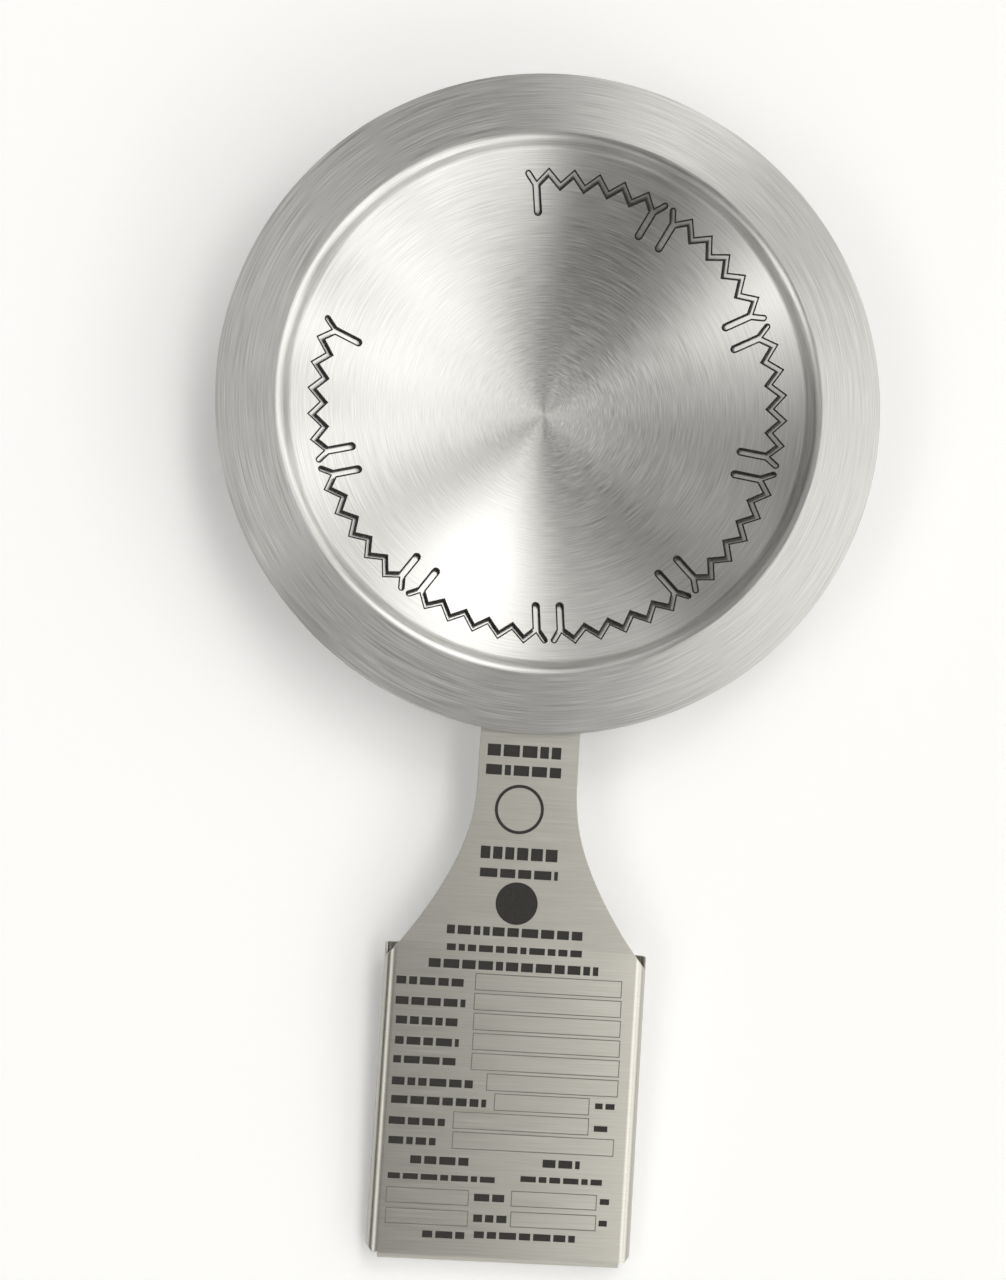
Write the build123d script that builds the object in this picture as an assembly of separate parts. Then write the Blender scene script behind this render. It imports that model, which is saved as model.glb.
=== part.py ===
from build123d import *
import math
import os

os.makedirs("parts", exist_ok=True)

# Rupture disc, reverse acting, seen from the vent side.
# Origin: centre of the flange, on its vent-side seating face. +Z is the vent side,
# the name tag hangs along -Y. Millimetres and degrees.

# ---- Slotted dome sheet ------------------------------------------------------
disc_diameter = 132.0
sheet_thickness = 0.6
flange_width = 11.5           # flat part, from the outer edge to where it turns down
flange_bend_radius = 2.2      # on the vent face
wall_slope = 60.0             # the short wall below the flange bend
wall_length = 0.8
wall_fillet_radius = 2.5      # from the wall into the dish
dish_depth = 15.8             # vent face of the flange to the bottom of the dish

# ---- Slits -------------------------------------------------------------------
slit_count = 8
slit_spacing = 37.25          # from one pair of fingers to the next
first_pair_angle = 99.75      # counter-clockwise from +X, the edge of the hinge gap
slit_width = 1.1
finger_width = 1.45
slit_ring_inset = 9.6         # flat flange to the zigzag's inner corners and the junctions
tooth_depth = 2.4             # inner to outer corners of the zigzag's centre line
tooth_count = 5
finger_offset = 2.4           # finger centre line to the middle of its pair
finger_length = 5.5           # junction to the finger's round inner end
stub_offset = 0.95            # stub's outer end to the middle of its pair
stub_length = 2.3             # measured outward

# ---- Seal membrane and support ring -------------------------------------------
membrane_thickness = 0.15
membrane_clearance = 0.35     # between the slotted sheet and the membrane in the dish
ring_thickness = 0.5
ring_bore_clearance = 0.6     # ring bore to the start of the membrane's bend

# ---- Name tag ------------------------------------------------------------------
tag_thickness = 0.5
tag_pocket_clearance = 0.15   # all round the tab, in the support ring
tab_overlap = 7.5             # how far the tab reaches in under the flange
neck_width = 19.6
neck_end = 10.0               # beyond the edge of the disc, where the flare begins
tag_width = 51.0
tag_body_start = 41.9         # beyond the edge of the disc
tag_end = 101.6               # beyond the edge of the disc
side_bend_radius = 2.3        # outside of the rolled sides
side_return = 3.0             # flat return behind each rolled side
lip_bend_radius = 1.25        # outside of the bottom lip's bend
lip_height = 3.2
corner_chamfer = 1.1

# ---- Derived -------------------------------------------------------------------
disc_radius = disc_diameter / 2
flat_inner_radius = disc_radius - flange_width
valley_radius = flat_inner_radius - slit_ring_inset
peak_radius = valley_radius + tooth_depth
membrane_top = -sheet_thickness
ring_top = membrane_top - membrane_thickness
ring_bottom = ring_top - ring_thickness
membrane_bend_start = flat_inner_radius + membrane_clearance / math.sin(math.radians(wall_slope))
ring_bore_radius = membrane_bend_start + ring_bore_clearance


def dish_line(flat_z, bend_start, bend_radius, fillet_radius, depth):
    """Points of a dish's meridian, from the flange inward: bend, wall, fillet and cap.

    Returns the pairs (start, middle, end) of its three arcs and the cap radius.
    """
    slope = math.radians(wall_slope)

    def on_arc(cx, cz, radius, angle):
        return (cx + radius * math.cos(angle), cz + radius * math.sin(angle))

    up = math.pi / 2
    bx, bz = bend_start, flat_z - bend_radius
    bend = [on_arc(bx, bz, bend_radius, up + slope * k) for k in (0, 0.5, 1)]
    wx = bend[2][0] - wall_length * math.cos(slope)
    wz = bend[2][1] - wall_length * math.sin(slope)
    fx = wx - fillet_radius * math.sin(slope)
    fz = wz + fillet_radius * math.cos(slope)
    rise = depth + fz - flat_z
    cap_radius = (fx**2 + rise**2 - fillet_radius**2) / (2 * (rise - fillet_radius))
    edge = math.asin(fx / (cap_radius - fillet_radius))
    fillet = [on_arc(fx, fz, fillet_radius, -up + slope + (edge - slope) * k) for k in (0, 0.5, 1)]
    cz = flat_z - depth + cap_radius
    cap = [on_arc(0, cz, cap_radius, -up + edge * k) for k in (1, 0.5, 0)]
    return bend, fillet, cap


def dished_sheet(flat_z, bend_start, bend_radius, fillet_radius, depth, thickness):
    """A revolved sheet: flat flange, rounded bend, short wall, fillet and spherical cap."""
    top = dish_line(flat_z, bend_start, bend_radius, fillet_radius, depth)
    low = dish_line(
        flat_z - thickness, bend_start, bend_radius - thickness, fillet_radius + thickness, depth
    )

    def edges(line, z):
        bend, fillet, cap = line
        return (
            Line((disc_radius, z), bend[0])
            + ThreePointArc(*bend)
            + Line(bend[2], fillet[0])
            + ThreePointArc(*fillet)
            + ThreePointArc(fillet[2], cap[1], cap[2])
        )

    outline = (
        edges(top, flat_z)
        + edges(low, flat_z - thickness)
        + Line((disc_radius, flat_z), (disc_radius, flat_z - thickness))
        + Line(top[2][2], low[2][2])
    )
    return revolve(Plane.XZ * make_face(outline), Axis.Z)


def polar(radius, degrees, offset=0.0):
    """A point at a radius along a ray, moved sideways from the ray by an offset."""
    a = math.radians(degrees)
    return Vector(
        radius * math.cos(a) - offset * math.sin(a), radius * math.sin(a) + offset * math.cos(a)
    )


def bar(start, end, width):
    """A straight slot with round ends, centred on two points."""
    span = end - start
    turn = math.degrees(math.atan2(span.Y, span.X))
    return Pos((start + end) * 0.5) * Rot(0, 0, turn) * SlotCenterToCenter(span.length, width)


def zigzag_band(points, width):
    """A band of constant width along a broken line, with sharp mitred corners."""
    left, right = [], []
    for i, point in enumerate(points):
        before = (point - points[i - 1]).normalized() if i else None
        after = (points[i + 1] - point).normalized() if i + 1 < len(points) else before
        before = before or after
        normal = Vector(-(before.Y + after.Y), before.X + after.X).normalized()
        reach = width / 2 / (normal.X * -after.Y + normal.Y * after.X)
        left.append(point + normal * reach)
        right.append(point - normal * reach)
    return make_face(Polyline(*left, *reversed(right), close=True))


def slit_outline():
    """One slit: finger and stub at each end, zigzag between, running clockwise from 0 degrees."""
    outline = None
    joints = []
    for angle, side in ((0.0, -1), (-slit_spacing, 1)):
        joint = polar(valley_radius, angle, side * finger_offset)
        tip = polar(valley_radius - finger_length + finger_width / 2, angle, side * finger_offset)
        stub = polar(valley_radius + stub_length, angle, side * stub_offset)
        joints.append(joint)
        piece = bar(tip, joint, finger_width) + bar(joint, stub, slit_width)
        outline = piece if outline is None else outline + piece
    angles = [math.degrees(math.atan2(p.Y, p.X)) for p in joints]
    steps = 2 * tooth_count
    path = [joints[0]]
    for i in range(1, steps):
        radius = peak_radius if i % 2 else valley_radius
        path.append(polar(radius, angles[0] + (angles[1] - angles[0]) * i / steps))
    path.append(joints[1])
    return outline + zigzag_band(path, slit_width)


def slotted_dome():
    """Vent-side sheet: flange and dish in one, with the ring of slits cut through."""
    sheet = dished_sheet(
        0, flat_inner_radius, flange_bend_radius, wall_fillet_radius, dish_depth, sheet_thickness
    )
    cutter = Pos(0, 0, -2 * dish_depth) * extrude(slit_outline(), 2 * dish_depth)
    cutters = [
        Rot(0, 0, first_pair_angle - slit_spacing * k) * cutter for k in range(slit_count)
    ]
    return sheet - cutters


def seal_membrane():
    """Thin whole membrane that follows the dish just below the slotted sheet."""
    return dished_sheet(
        membrane_top,
        membrane_bend_start,
        flange_bend_radius - sheet_thickness,
        wall_fillet_radius + sheet_thickness,
        dish_depth + membrane_clearance,
        membrane_thickness,
    )


def support_ring():
    """Process-side ring below the flange, with an open pocket for the tag's tab."""
    ring = Cylinder(disc_radius, ring_thickness) - Cylinder(ring_bore_radius, 2 * ring_thickness)
    pocket_depth = tab_overlap + tag_pocket_clearance
    pocket = Pos(0, -disc_radius) * Box(
        neck_width + 2 * tag_pocket_clearance, 2 * pocket_depth, 2 * ring_thickness
    )
    return Pos(0, 0, (ring_top + ring_bottom) / 2) * (ring - pocket)


def tag_plate(side_flat, end_y):
    """Flat part of the tag: tab, neck, the curved flare and the body between the folds."""
    neck = neck_width / 2
    start = -(disc_radius - tab_overlap)
    neck_y = -(disc_radius + neck_end)
    body_y = -(disc_radius + tag_body_start)
    mid = (neck + (side_flat - neck) * 0.46, neck_y + (body_y - neck_y) * 0.66)
    right = (
        Line((neck, start), (neck, neck_y))
        + Spline((neck, neck_y), mid, (side_flat, body_y), tangents=((0, -1), (0.62, -0.78)))
        + Line((side_flat, body_y), (side_flat, end_y))
    )
    closed = (
        right
        + mirror(right, Plane.YZ)
        + Line((neck, start), (-neck, start))
        + Line((side_flat, end_y), (-side_flat, end_y))
    )
    return extrude(make_face(closed), -tag_thickness)


def rolled_side(side_flat, end_y):
    """One side rolled back on itself, its upper end cut on the slant of the flare."""
    r = side_bend_radius
    inner = r - tag_thickness
    outer_path = (
        Line((side_flat, 0), (side_flat, -tag_thickness))
        + ThreePointArc((side_flat, 0), (side_flat + r, -r), (side_flat, -2 * r))
        + ThreePointArc(
            (side_flat, -tag_thickness), (side_flat + inner, -r), (side_flat, -2 * r + tag_thickness)
        )
        + Line((side_flat, -2 * r), (side_flat - side_return, -2 * r))
        + Line((side_flat, -2 * r + tag_thickness), (side_flat - side_return, -2 * r + tag_thickness))
        + Line((side_flat - side_return, -2 * r), (side_flat - side_return, -2 * r + tag_thickness))
    )
    body_y = -(disc_radius + tag_body_start)
    length = body_y - end_y
    roll = Pos(0, body_y) * extrude(Plane.XZ * make_face(outer_path), length)
    slant = make_face(
        Polyline(
            (side_flat, body_y), (side_flat + 2 * r, body_y - 2.4 * r), (side_flat + 2 * r, body_y + r),
            (side_flat, body_y + r), close=True,
        )
    )
    roll -= Pos(0, 0, -r) * extrude(slant, 2 * r)
    corner = make_face(
        Polyline(
            (side_flat + r, end_y + corner_chamfer), (side_flat + r - corner_chamfer, end_y),
            (side_flat + r, end_y - 1), (side_flat + r + 1, end_y), close=True,
        )
    )
    return roll - Pos(0, 0, -3 * r) * extrude(corner, 4 * r)


def bottom_lip(side_flat, end_y):
    """Short lip folded down along the tag's lower edge."""
    r = lip_bend_radius
    inner = r - tag_thickness
    half = math.sqrt(0.5)
    lip = (
        Line((0, 0), (0, -tag_thickness))
        + ThreePointArc((0, 0), (r * half, -r + r * half), (r, -r))
        + ThreePointArc((0, -tag_thickness), (inner * half, -r + inner * half), (inner, -r))
        + Line((r, -r), (r, -lip_height))
        + Line((inner, -r), (inner, -lip_height))
        + Line((inner, -lip_height), (r, -lip_height))
    )
    face = Plane(origin=(side_flat, end_y, 0), x_dir=(0, -1, 0), z_dir=(-1, 0, 0)) * make_face(lip)
    return extrude(face, 2 * side_flat)


def name_tag():
    """One folded sheet: tab in the ring's pocket, neck, flares, body, rolled sides and lip."""
    side_flat = tag_width / 2 - side_bend_radius
    end_y = -(disc_radius + tag_end) + lip_bend_radius
    side = rolled_side(side_flat, end_y)
    tag = tag_plate(side_flat, end_y) + side + mirror(side, Plane.YZ) + bottom_lip(side_flat, end_y)
    return Pos(0, 0, ring_top) * tag


nodes = {
    "slotted_dome": slotted_dome(),
    "seal_membrane": seal_membrane(),
    "support_ring": support_ring(),
    "name_tag": name_tag(),
}

for name, solid in nodes.items():
    solid.label = name
    export_step(solid, f"parts/{name}.step")
    print(name, len(solid.solids()), "solid(s)", round(solid.volume, 1), "mm3", solid.is_valid)
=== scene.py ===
"""Slotted rupture disc: brushed steel looks, marks on the name tag, pale studio."""

import math

import bmesh
import bpy
import numpy as np
from mathutils import Matrix, Vector


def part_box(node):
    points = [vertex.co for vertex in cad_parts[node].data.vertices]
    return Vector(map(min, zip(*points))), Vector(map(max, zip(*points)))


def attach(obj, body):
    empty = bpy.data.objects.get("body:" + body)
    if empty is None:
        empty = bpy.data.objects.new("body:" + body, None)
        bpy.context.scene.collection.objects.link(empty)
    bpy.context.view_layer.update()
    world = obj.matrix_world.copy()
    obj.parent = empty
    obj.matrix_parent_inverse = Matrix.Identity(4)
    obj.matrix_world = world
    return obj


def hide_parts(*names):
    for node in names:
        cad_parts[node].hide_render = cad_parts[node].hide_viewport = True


MM = 0.001

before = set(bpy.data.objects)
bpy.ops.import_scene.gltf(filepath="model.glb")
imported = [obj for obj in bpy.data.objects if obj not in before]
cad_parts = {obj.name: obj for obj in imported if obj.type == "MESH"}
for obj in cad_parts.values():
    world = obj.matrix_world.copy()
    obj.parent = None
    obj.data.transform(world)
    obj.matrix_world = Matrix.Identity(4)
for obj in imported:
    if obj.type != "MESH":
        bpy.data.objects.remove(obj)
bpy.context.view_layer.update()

# ---- Sizes that the dished sheets share with the CAD, in metres ------------------
FLAT_RADIUS = 54.5 * MM
BEND_RADIUS = 2.2 * MM
WALL_SLOPE = math.radians(60.0)
WALL_LENGTH = 0.8 * MM
FILLET_RADIUS = 2.5 * MM
DISH_DEPTH = 15.8 * MM
CAP_RADIUS = 107.0 * MM  # vent face of the dish's cap, rounded
SHEET = 0.6 * MM
MEMBRANE = 0.15 * MM
MEMBRANE_GAP = 0.35 * MM
SLIT_REACH = 49.0 * MM  # every slit lies inside this radius

# ---- Sizes of the looks ----------------------------------------------------------
MERGE_DISTANCE = 1e-7  # corners nearer than this are one corner
RIM_MATCH = 0.3  # least cosine between a face and the revolved form, outside the slits
DISH_MATCH = math.cos(math.radians(20))  # the same, inside them
# Band along the slits' edges: the cut's heat tint on the face, and painted shade hanging into the
# gap.
TINT_SHADE_OUTWARD, TINT_SHADE_INWARD = 0.12 * MM, 0.2 * MM
TINT_SHADE_LIFT, TINT_SHADE_DROP = 0.012 * MM, 0.06 * MM
TINT_SHADE_MITRE = 1.6  # most that a corner lengthens the band's offset
SHARP_ANGLE = math.radians(35)
ROUNDING = 0.1 * MM
ROUNDED_ANGLE = math.radians(50)
MARK_HEIGHT = 0.02 * MM
MARK_SINK = 0.01 * MM
FIELD_LINE = 0.18 * MM
BAR_SHORTEST, BAR_LONGEST = 1.2, 3.4  # millimetres, before a line's end cuts the last bar
BAR_GAP = 0.55 * MM
BAR_LEFTOVER = 0.6 * MM  # a line ends when less than this is left


def place_mesh(name, mesh):
    """A new object around a mesh, at the origin."""
    piece = bpy.data.objects.new(name, mesh)
    bpy.context.scene.collection.objects.link(piece)
    return piece


def merged_mesh(node, name):
    """A copy of a CAD node's mesh with its corners merged and no material."""
    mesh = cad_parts[node].data.copy()
    mesh.name = name
    bm = bmesh.new()
    bm.from_mesh(mesh)
    bmesh.ops.remove_doubles(bm, verts=bm.verts, dist=MERGE_DISTANCE)
    bm.to_mesh(mesh)
    bm.free()
    mesh.materials.clear()
    return mesh


def read_vectors(items, attribute):
    """An (n, 3) array of a vector that each item has."""
    values = np.empty(len(items) * 3)
    items.foreach_get(attribute, values)
    return values.reshape(-1, 3)


def read_numbers(items, attribute):
    """An array of a whole number that each item has."""
    values = np.empty(len(items), int)
    items.foreach_get(attribute, values)
    return values


# ---- Form of the dished sheets ---------------------------------------------------
def meridian(bend_start, bend_radius, fillet_radius, depth):
    """Radii where a dish's bend, wall, fillet centre and fillet end, and the radius of its cap.

    Bend end: start less bend radius times the sine of the slope. Wall end: that less wall length
    times the cosine. Cap radius: the squares of the fillet centre's radius and of its rise over
    the bottom, less the fillet's square, over twice the rise less the fillet radius.
    """
    bend_end = bend_start - bend_radius * math.sin(WALL_SLOPE)
    wall_end = bend_end - WALL_LENGTH * math.cos(WALL_SLOPE)
    wall_z = -bend_radius * (1 - math.cos(WALL_SLOPE)) - WALL_LENGTH * math.sin(WALL_SLOPE)
    fillet_centre = wall_end - fillet_radius * math.sin(WALL_SLOPE)
    rise = depth + wall_z + fillet_radius * math.cos(WALL_SLOPE)
    cap = (fillet_centre**2 + rise**2 - fillet_radius**2) / (2 * (rise - fillet_radius))
    fillet_end = fillet_centre * cap / (cap - fillet_radius)
    return bend_end, wall_end, fillet_centre, fillet_end, cap


def slope_at(r, bend_start, bend_radius, fillet_radius, depth):
    """Slope of a dish's meridian at radius r: arc sine of how far r has gone along each arc."""
    bend_end, wall_end, fillet_centre, fillet_end, cap = meridian(
        bend_start, bend_radius, fillet_radius, depth
    )
    slope = np.arcsin(np.clip(r / cap, 0, 1))
    fillet = np.arcsin(np.clip((r - fillet_centre) / fillet_radius, 0, 1))
    slope = np.where(r > fillet_end, fillet, slope)
    slope = np.where(r > wall_end, WALL_SLOPE, slope)
    bend = np.arcsin(np.clip((bend_start - r) / bend_radius, 0, 1))
    slope = np.where(r > bend_end, bend, slope)
    return np.where(r > bend_start, 0.0, slope)


def smooth_sheet(node, name, bend_start, bend_radius, fillet_radius, depth, thickness, material,
                 cut_shade_material=None):
    """A copy of a dished CAD sheet whose faces carry the true normals of the revolved form.

    The vent face's normal leans towards the axis by the meridian's slope at that radius, and the
    process face has the opposite one. Cut edges keep flat normals, and the walls of the slits
    take the cut material: painted shade over the cut's own oxide.
    """
    mesh = merged_mesh(node, name)
    piece = place_mesh(name, mesh)

    sizes = read_numbers(mesh.polygons, "loop_total")
    corner_face = np.repeat(np.arange(len(sizes)), sizes)
    at = read_vectors(mesh.vertices, "co")[read_numbers(mesh.loops, "vertex_index")]
    flat = read_vectors(mesh.polygons, "normal")[corner_face]
    r = np.hypot(at[:, 0], at[:, 1])
    away = np.maximum(r, 1e-9)
    vent_side = flat[:, 2] > 0

    vent_slope = slope_at(r, bend_start, bend_radius, fillet_radius, depth)
    process_slope = slope_at(
        r, bend_start, bend_radius - thickness, fillet_radius + thickness, depth
    )
    slope = np.where(vent_side, vent_slope, process_slope)
    true = np.stack(
        [-np.sin(slope) * at[:, 0] / away, -np.sin(slope) * at[:, 1] / away, np.cos(slope)], 1
    )
    true *= np.where(vent_side, 1.0, -1.0)[:, None]
    near = (true * flat).sum(1) > np.where(r > SLIT_REACH, RIM_MATCH, DISH_MATCH)
    mesh.shade_smooth()
    mesh.normals_split_custom_set(np.where(near[:, None], true, flat).tolist())

    mesh.materials.append(material)
    if cut_shade_material:
        on_form = np.zeros(len(sizes), bool)
        on_form[corner_face[near]] = True
        inside = np.zeros(len(sizes), bool)
        inside[corner_face[r < bend_start]] = True
        # The slits' walls get the near-black cut material: painted shade over the cut's own oxide.
        mesh.materials.append(cut_shade_material)
        mesh.polygons.foreach_set("material_index", (inside & ~on_form).astype(np.int32))
    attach(piece, "root")
    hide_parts(node)
    return piece


# ---- Materials -------------------------------------------------------------------
def node_adder(tree):
    """A short way to add a node to a tree, with its inputs set or linked in order."""

    def add(kind, *inputs, **settings):
        node = tree.nodes.new(kind)
        for key, value in settings.items():
            setattr(node, key, value)
        for i, value in enumerate(inputs):
            if isinstance(value, bpy.types.NodeSocket):
                tree.links.new(value, node.inputs[i])
            elif value is not None:
                node.inputs[i].default_value = value
        return node

    return add


def new_material(name):
    """A node material with only its Principled shader, and a short way to add to it."""
    material = bpy.data.materials.new(name)
    material.use_nodes = True
    tree = material.node_tree
    tree.nodes.clear()
    output = tree.nodes.new("ShaderNodeOutputMaterial")
    shader = tree.nodes.new("ShaderNodeBsdfPrincipled")
    tree.links.new(shader.outputs[0], output.inputs[0])
    return material, tree, shader, node_adder(tree)


def noise_at(tree, add, place, scale, detail=2.0):
    """The value of a noise at a place."""
    noise = add("ShaderNodeTexNoise", noise_dimensions="3D")
    tree.links.new(place, noise.inputs["Vector"])
    noise.inputs["Scale"].default_value = scale
    noise.inputs["Detail"].default_value = detail
    return noise.outputs[0]


def colour_between(tree, add, share, dark, light, shader):
    """The shader's colour: dark where share is 0, light where it is 1."""
    tone = add("ShaderNodeMix", share, data_type="RGBA")
    tone.inputs[6].default_value = (*dark, 1)
    tone.inputs[7].default_value = (*light, 1)
    tree.links.new(tone.outputs[2], shader.inputs["Base Color"])


RING_GRAIN = 6000.0  # grain per metre of radius
ARC_GRAIN = 5.0  # grain per radian, near enough
STRAIGHT_GRAIN = (90.0, 4200.0, 4200.0)  # grain per metre along X, Y and Z
GRAIN_LOW, GRAIN_HIGH = 0.3, 0.7  # values that most of the grain lies between
GRAIN_SHARE, PATCH_SHARE = 0.8, 0.3  # how much grain and broad patches change the tone
PATCH_SCALE = 38.0
GRAIN_STRENGTH = 0.35
MATT_NOISE_SCALE = 2500.0
MATT_ROUGHNESS = 0.6
MATT_GLOSS = 0.15


def brushed_steel(name, dark, light, roughness, spread, anisotropy, circular, grain_depth):
    """Brushed stainless steel, with grain in circles round the disc's axis or straight along X.

    The grain is noise over radius times ring grain and the ray's two parts times arc grain, or
    over the place times straight grain. Roughness is spread across the grain's direction.
    """
    material, tree, shader, add = new_material(name)
    place = add("ShaderNodeTexCoord").outputs["Object"]
    if circular:
        x, y, _ = add("ShaderNodeSeparateXYZ", place).outputs
        level = add("ShaderNodeCombineXYZ", x, y, 0.0).outputs[0]
        radius = add("ShaderNodeVectorMath", level, operation="LENGTH").outputs["Value"]
        across = add("ShaderNodeVectorMath", level, operation="NORMALIZE").outputs[0]
        ray_x, ray_y, _ = add("ShaderNodeSeparateXYZ", across).outputs
        grain_axes = [
            add("ShaderNodeMath", part, factor, operation="MULTIPLY").outputs[0]
            for part, factor in ((radius, RING_GRAIN), (ray_x, ARC_GRAIN), (ray_y, ARC_GRAIN))
        ]
        grain_place = add("ShaderNodeCombineXYZ", *grain_axes).outputs[0]
    else:
        grain_place = add(
            "ShaderNodeVectorMath", place, STRAIGHT_GRAIN, operation="MULTIPLY"
        ).outputs[0]
        across = add("ShaderNodeCombineXYZ", 0.0, 1.0, 0.0).outputs[0]
    tree.links.new(across, shader.inputs["Tangent"])

    grain = noise_at(tree, add, grain_place, 1.0, 3.0)
    patches = noise_at(tree, add, place, PATCH_SCALE)
    lines = add("ShaderNodeMapRange", grain, GRAIN_LOW, GRAIN_HIGH, 0.0, GRAIN_SHARE).outputs[0]
    share = add("ShaderNodeMath", patches, PATCH_SHARE, lines, operation="MULTIPLY_ADD").outputs[0]
    colour_between(tree, add, share, dark, light, shader)
    rough = add(
        "ShaderNodeMapRange", grain, GRAIN_LOW, GRAIN_HIGH, roughness - spread, roughness + spread
    ).outputs[0]
    tree.links.new(rough, shader.inputs["Roughness"])
    shader.inputs["Metallic"].default_value = 1.0
    shader.inputs["Anisotropic"].default_value = anisotropy
    bump = add("ShaderNodeBump")
    bump.inputs["Strength"].default_value = GRAIN_STRENGTH
    bump.inputs["Distance"].default_value = grain_depth
    tree.links.new(grain, bump.inputs["Height"])
    tree.links.new(bump.outputs[0], shader.inputs["Normal"])
    return material


def ink_and_painted_shade(name, dark, light):
    """A dark matt surface, for etched marks, and at the slits as painted shade over the cut's own
    oxide; uneven from fine noise.
    """
    material, tree, shader, add = new_material(name)
    place = add("ShaderNodeTexCoord").outputs["Object"]
    colour_between(tree, add, noise_at(tree, add, place, MATT_NOISE_SCALE), dark, light, shader)
    shader.inputs["Roughness"].default_value = MATT_ROUGHNESS
    shader.inputs["Specular IOR Level"].default_value = MATT_GLOSS
    return material


disc_steel = brushed_steel(
    "disc_brushed_steel", (0.54, 0.535, 0.52), (0.83, 0.825, 0.805), 0.32, 0.04, 0.92, True, 3e-6
)
membrane_steel = brushed_steel(
    "membrane_steel", (0.66, 0.655, 0.64), (0.82, 0.815, 0.80), 0.34, 0.03, 0.85, True, 6e-6
)
ring_steel = brushed_steel(
    "ring_turned_steel", (0.56, 0.55, 0.53), (0.68, 0.67, 0.64), 0.32, 0.04, 0.6, True, 1e-5
)
tag_steel = brushed_steel(
    "tag_brushed_steel", (0.57, 0.555, 0.50), (0.67, 0.655, 0.60), 0.42, 0.03, 0.6, False, 4e-6
)
# Near-black band at the slits' edges: the cut's heat tint, and painted shade inside the slits'
# gap.
tint_and_shade_ink = ink_and_painted_shade("slit_tint_and_painted_shade", (0.014, 0.012, 0.011), (0.05, 0.045, 0.04))
# Near-black cut walls of the slits: painted shade of the shaded walls, over the cut's own oxide.
cut_oxide_and_shade = ink_and_painted_shade("slit_cut_oxide_and_shade", (0.03, 0.028, 0.026), (0.07, 0.065, 0.06))
dark_ink = ink_and_painted_shade("tag_marking_dark", (0.025, 0.023, 0.022), (0.055, 0.052, 0.048))
grey_ink = ink_and_painted_shade("tag_marking_grey", (0.17, 0.165, 0.145), (0.22, 0.21, 0.19))


# ---- Dished sheets ---------------------------------------------------------------
def slit_edges(bm):
    """Upper edges of the slits: vertex pairs, and each vertex's summed outward and normal."""
    pairs, away, normal = [], {}, {}
    for edge in bm.edges:
        if len(edge.link_faces) != 2:
            continue
        top = [f for f in edge.link_faces if f.material_index == 0 and f.normal.z > 0.5]
        cut = [f for f in edge.link_faces if f.material_index == 1]
        if len(top) != 1 or len(cut) != 1:
            continue
        first, second = edge.verts
        n = top[0].normal
        d = n.cross(second.co - first.co).normalized()
        if d.dot(top[0].calc_center_median() - first.co) < 0:
            d = -d
        pairs.append((first.index, second.index))
        for v in (first, second):
            away[v.index] = away.get(v.index, Vector()) + d
            normal[v.index] = normal.get(v.index, Vector()) + n
    return pairs, away, normal


def edge_band(sheet, name, outward, inward, material):
    """Dark band along each slit's upper edge: heat tint on the face, painted shade in the gap.

    At each edge point it runs from the sheet's face, outward from the slit and lifted, over the
    point itself, to inside the slit and lower down.
    """
    bm = bmesh.new()
    bm.from_mesh(sheet.data)
    pairs, away, normal = slit_edges(bm)
    verts, number = [], {}
    for i in away:
        p = sheet.data.vertices[i].co
        n = normal[i].normalized()
        d = away[i].normalized()
        mitre = min(TINT_SHADE_MITRE, 2.0 / max(away[i].length, 0.5))
        number[i] = len(verts)
        verts += [
            p + d * outward * mitre + n * TINT_SHADE_LIFT,
            p + n * TINT_SHADE_LIFT,
            p - d * inward * mitre - n * TINT_SHADE_DROP,
        ]
    bm.free()
    faces = []
    for i, j in pairs:
        a, b = number[i], number[j]
        for k in (0, 1):
            quad = [a + k, b + k, b + k + 1, a + k + 1]
            turn = (verts[quad[1]] - verts[quad[0]]).cross(verts[quad[3]] - verts[quad[0]])
            faces.append(quad if turn.z > 0 else quad[::-1])
    mesh = bpy.data.meshes.new(name)
    mesh.from_pydata([tuple(v) for v in verts], [], faces)
    mesh.materials.append(material)
    piece = place_mesh(name, mesh)
    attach(piece, "root")
    return piece


dome = smooth_sheet(
    "slotted_dome", "slotted_dome_sheet", FLAT_RADIUS, BEND_RADIUS, FILLET_RADIUS, DISH_DEPTH,
    SHEET, disc_steel, cut_oxide_and_shade,
)
# Painted shade: a near-black band hangs into each slit where its gap lies in shade, with heat tint
# on the face.
edge_band(dome, "slit_tint_and_painted_shade", TINT_SHADE_OUTWARD, TINT_SHADE_INWARD, tint_and_shade_ink)
membrane = smooth_sheet(
    "seal_membrane", "seal_membrane_sheet", FLAT_RADIUS + MEMBRANE_GAP / math.sin(WALL_SLOPE),
    BEND_RADIUS - SHEET, FILLET_RADIUS + SHEET, DISH_DEPTH + MEMBRANE_GAP, MEMBRANE,
    membrane_steel,
)


# ---- Support ring and name tag ---------------------------------------------------
def smooth_copy(node, name, material):
    """A copy of a CAD node with smooth bends and slightly rounded edges."""
    mesh = merged_mesh(node, name)
    mesh.shade_smooth()
    mesh.set_sharp_from_angle(angle=SHARP_ANGLE)
    mesh.materials.append(material)
    piece = place_mesh(name, mesh)
    bevel = piece.modifiers.new("edge_rounding", "BEVEL")
    bevel.width = ROUNDING
    bevel.segments = 2
    bevel.limit_method = "ANGLE"
    bevel.angle_limit = ROUNDED_ANGLE
    bevel.harden_normals = True
    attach(piece, "root")
    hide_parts(node)
    return piece


smooth_copy("support_ring", "support_ring_turned", ring_steel)
smooth_copy("name_tag", "name_tag_sheet", tag_steel)

# ---- Marks on the tag ------------------------------------------------------------
tag_low, tag_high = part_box("name_tag")
MARK_BOTTOM = tag_high[2] - MARK_SINK
MARK_TOP = tag_high[2] + MARK_HEIGHT


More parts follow.
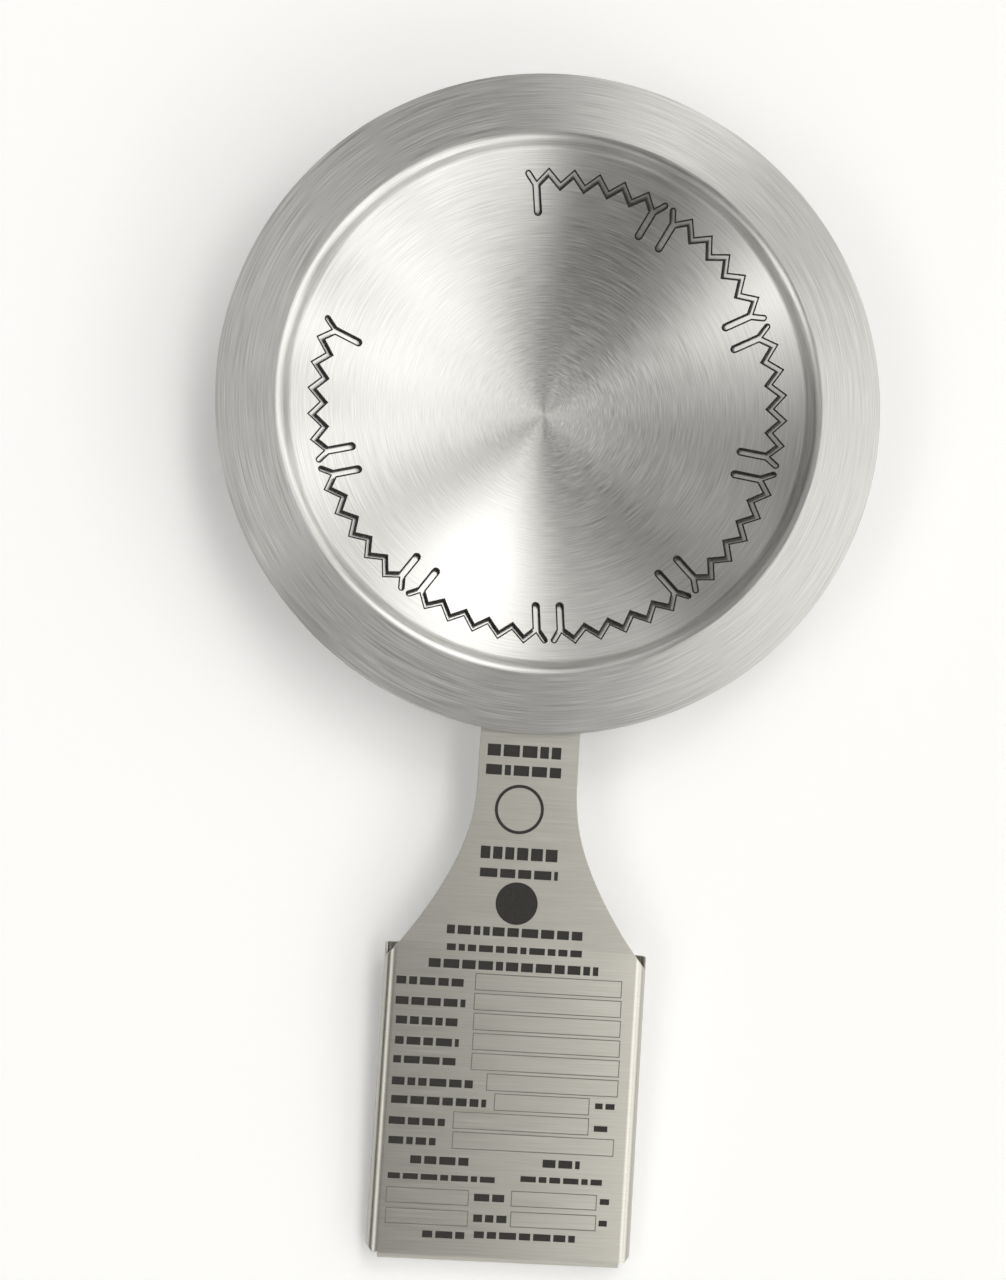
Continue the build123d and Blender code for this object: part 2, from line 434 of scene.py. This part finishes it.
def prisms(name, outlines, material):
    """Thin flat marks on the tag, each outline a convex ring of (x, y) points."""
    verts, faces = [], []
    for ring in outlines:
        n, base = len(ring), len(verts)
        for z in (MARK_BOTTOM, MARK_TOP):
            verts += [(px, py, z) for px, py in ring]
        faces.append([base + n + i for i in range(n)])
        faces.append([base + n - 1 - i for i in range(n)])
        for i in range(n):
            j = (i + 1) % n
            faces.append([base + i, base + j, base + n + j, base + n + i])
    mesh = bpy.data.meshes.new(name)
    mesh.from_pydata(verts, [], faces)
    mesh.materials.append(material)
    piece = place_mesh(name, mesh)
    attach(piece, "root")
    return piece


def rectangle(x0, x1, y0, y1):
    """Corners of an upright rectangle, counter-clockwise."""
    return [(x0, y0), (x1, y0), (x1, y1), (x0, y1)]


def outline_box(x0, x1, y0, y1, line):
    """A rectangular outline as four thin rectangles."""
    return [
        rectangle(x0, x1, y0, y0 + line),
        rectangle(x0, x1, y1 - line, y1),
        rectangle(x0, x0 + line, y0 + line, y1 - line),
        rectangle(x1 - line, x1, y0 + line, y1 - line),
    ]


def arc_band(cx, cy, inner, outer, parts=48):
    """A ring as short quads between two circles."""
    quads = []
    for k in range(parts):
        a, b = 2 * math.pi * k / parts, 2 * math.pi * (k + 1) / parts
        quads.append([
            (cx + radius * math.cos(angle), cy + radius * math.sin(angle))
            for radius, angle in ((inner, a), (outer, a), (outer, b), (inner, b))
        ])
    return quads


def dashes(rng, x0, x1, y, height):
    """A line of blank marks: short bars of uneven length with even gaps."""
    bars, x = [], x0
    while x < x1 - BAR_LEFTOVER:
        end = min(x + rng.uniform(BAR_SHORTEST, BAR_LONGEST) * MM, x1)
        bars.append(rectangle(x, end, y - height / 2, y + height / 2))
        x = end + BAR_GAP
    return bars


# Blank lines: left end, right end, middle height and mark height, millimetres.
BLANK_LINES = (
    (-8.2, 6.4, -69.5, 2.3), (-8.3, 6.8, -73.3, 2.0), (-8.3, 6.7, -89.4, 2.4),
    (-8.2, 7.0, -93.3, 1.7), (-13.9, 12.5, -104.6, 1.7), (-13.7, 12.6, -108.0, 1.3),
    (-17.0, 16.0, -111.2, 1.7), (-23.0, -10.0, -114.8, 1.5), (-22.9, -9.4, -118.7, 1.5),
    (-22.6, -10.7, -122.4, 1.5), (-22.5, -10.2, -126.3, 1.5), (-22.6, -10.6, -129.9, 1.4),
    (-22.6, -6.2, -134.0, 1.5), (-22.5, -4.2, -137.5, 1.5), (-22.7, -11.9, -141.5, 1.4),
    (-22.5, -12.7, -145.2, 1.4), (16.9, 20.7, -136.9, 1.1), (16.9, 20.5, -141.2, 1.1),
    (-18.1, -6.9, -148.7, 1.5), (7.4, 14.6, -148.3, 1.5), (-22.2, -1.1, -151.9, 1.1),
    (3.3, 19.1, -151.4, 1.1), (-5.4, 1.0, -155.3, 1.4), (18.9, 20.7, -155.0, 1.1),
    (-5.3, 1.1, -159.2, 1.4), (18.9, 20.7, -159.1, 1.1), (-14.9, -6.8, -162.6, 1.3),
    (-5.0, 14.5, -162.3, 1.3),
)
# Empty fields: left, right, middle height and height, millimetres.
FIELDS = (
    (-7.8, 20.8, -114.4, 3.3), (-7.8, 20.9, -118.2, 3.3), (-7.7, 21.0, -122.0, 3.3),
    (-7.6, 21.1, -125.8, 3.3), (-7.6, 21.2, -129.6, 3.3), (-4.4, 21.2, -133.4, 3.3),
    (-2.7, 15.8, -137.1, 3.3), (-10.4, 15.9, -140.9, 3.3), (-10.3, 21.0, -144.7, 3.3),
    (-22.3, -6.4, -155.5, 3.0), (1.7, 18.3, -155.2, 3.0), (-22.2, -6.3, -159.4, 3.0),
    (1.8, 18.4, -159.1, 3.0),
)
# A plain ring and a plain disc: centre x and y, inner and outer radius, millimetres.
ROUND_MARKS = ((-1.3, -80.8, 4.2, 4.8), (-0.7, -99.0, 0.0, 4.1))

rng = np.random.default_rng(7)
bars, frames = [], []
for left, right, y, height in BLANK_LINES:
    bars += dashes(rng, left * MM, right * MM, y * MM, height * MM)
for left, right, y, height in FIELDS:
    low_edge, high_edge = (y - height / 2) * MM, (y + height / 2) * MM
    frames += outline_box(left * MM, right * MM, low_edge, high_edge, FIELD_LINE)
for x, y, inner, outer in ROUND_MARKS:
    bars += arc_band(x * MM, y * MM, inner * MM, outer * MM)
prisms("tag_blank_lines", bars, dark_ink)
prisms("tag_field_outlines", frames, grey_ink)

# ---- Floor: touches the bulge of the dish and the low end of the tag ---------------
FLOOR_HALF = 4.0
FLOOR_GAP = 0.00005
FLOOR_TONE = (0.93, 0.93, 0.93, 1)
FLOOR_GLOW = 0.145  # lifts the pale floor for the camera alone

bulge_low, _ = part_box("seal_membrane")
bulge_radius = CAP_RADIUS + SHEET + MEMBRANE_GAP + MEMBRANE
bulge_centre_z = bulge_low[2] + bulge_radius
foot_y, foot_z = tag_low[1], tag_low[2]
reach = math.hypot(foot_y, bulge_centre_z - foot_z)
lean = math.atan2(-foot_y, bulge_centre_z - foot_z) - math.acos(bulge_radius / reach)

floor_mesh = bpy.data.meshes.new("floor")
floor_mesh.from_pydata(
    [(*corner, 0) for corner in rectangle(-FLOOR_HALF, FLOOR_HALF, -FLOOR_HALF, FLOOR_HALF)],
    [], [(0, 1, 2, 3)],
)
floor = place_mesh("floor", floor_mesh)
floor.location = (0, foot_y, foot_z - FLOOR_GAP)
floor.rotation_euler = (-lean, 0, 0)
floor_material, floor_tree, floor_shader, floor_add = new_material("floor_paper")
floor_shader.inputs["Base Color"].default_value = FLOOR_TONE
floor_shader.inputs["Roughness"].default_value = 0.9
floor_shader.inputs["Specular IOR Level"].default_value = 0.0
floor_path = floor_add("ShaderNodeLightPath").outputs["Is Camera Ray"]
floor_seen = floor_add("ShaderNodeMath", floor_path, FLOOR_GLOW, operation="MULTIPLY").outputs[0]
floor_shader.inputs["Emission Color"].default_value = (1, 1, 1, 1)
floor_tree.links.new(floor_seen, floor_shader.inputs["Emission Strength"])
floor_mesh.materials.append(floor_material)

# ---- Studio lights ---------------------------------------------------------------
# Soft lights: azimuth from +X and elevation in degrees, and brightness.
SOFT_LIGHTS = (
    (68, 46, 5.36), (202, 46, 3.66), (309, 30, 3.3), (334, 30, 2.79), (30, 62, 2.37),
    (0, 62, 2.35), (26, 30, 2.34), (0, 30, 2.33), (36, 12, 2.26), (292, 46, 2.25),
    (330, 62, 2.25), (288, 12, 1.73), (77, 30, 1.59), (103, 30, 1.51), (257, 30, 1.36),
    (0, 12, 1.25), (180, 46, 1.22), (231, 30, 1.12), (324, 12, 1.08), (51, 30, 0.98),
    (283, 30, 0.71), (135, 46, 0.71), (22, 46, 0.55), (225, 46, 0.54), (180, 62, 0.44),
    (129, 30, 0.38), (158, 46, 0.37), (0, 76, 0.35), (108, 12, 0.27), (150, 62, 0.21),
)
LIGHT_TIGHTNESS = 60.0
LIGHT_COLOUR = (1.0, 0.99, 0.965, 1)
BACKDROP = 1.0  # what the camera sees past the floor

world = bpy.data.worlds.new("studio")
bpy.context.scene.world = world
world.use_nodes = True
world_tree = world.node_tree
world_tree.nodes.clear()
world_add = node_adder(world_tree)
direction = world_add("ShaderNodeTexCoord").outputs["Generated"]


def glow(azimuth, elevation, strength):
    """Brightness of one soft light in the direction looked at.

    It is the strength times a power of the cosine of the angle from the light's own direction,
    and none from a right angle on.
    """
    a, e = math.radians(azimuth), math.radians(elevation)
    towards = Vector((math.cos(a) * math.cos(e), math.sin(a) * math.cos(e), math.sin(e)))
    cosine = world_add(
        "ShaderNodeVectorMath", direction, tuple(towards.normalized()), operation="DOT_PRODUCT"
    ).outputs["Value"]
    facing = world_add("ShaderNodeMath", cosine, 0.0, operation="MAXIMUM").outputs[0]
    tight = world_add("ShaderNodeMath", facing, LIGHT_TIGHTNESS, operation="POWER").outputs[0]
    return world_add("ShaderNodeMath", tight, strength, operation="MULTIPLY").outputs[0]


total = glow(*SOFT_LIGHTS[0])
for light in SOFT_LIGHTS[1:]:
    total = world_add("ShaderNodeMath", total, glow(*light), operation="ADD").outputs[0]
world_path = world_add("ShaderNodeLightPath").outputs["Is Camera Ray"]
seen = world_add("ShaderNodeMix", world_path, None, total, BACKDROP, data_type="FLOAT").outputs[0]
background = world_add("ShaderNodeBackground", LIGHT_COLOUR, seen)
world_out = world_add("ShaderNodeOutputWorld")
world_tree.links.new(background.outputs[0], world_out.inputs["Surface"])

# ---- Camera ----------------------------------------------------------------------
CAMERA_PLACE = (-33.8 * MM, -77.7 * MM, 388.7 * MM)
CAMERA_TURN = Vector((-0.07368, 0.07214, -0.06548))  # rotation vector, radians, object to camera
SENSOR_WIDTH = 36.0
FOCAL = 56.25

camera_data = bpy.data.cameras.new("camera")
camera_data.sensor_width = SENSOR_WIDTH
camera_data.lens = FOCAL
camera_data.clip_start, camera_data.clip_end = 0.01, 20.0
camera = bpy.data.objects.new("camera", camera_data)
bpy.context.scene.collection.objects.link(camera)
camera_turn = Matrix.Rotation(CAMERA_TURN.length, 4, CAMERA_TURN).inverted()
camera.matrix_world = Matrix.Translation(CAMERA_PLACE) @ camera_turn
scene = bpy.context.scene
scene.camera = camera
scene.view_settings.view_transform = "Standard"
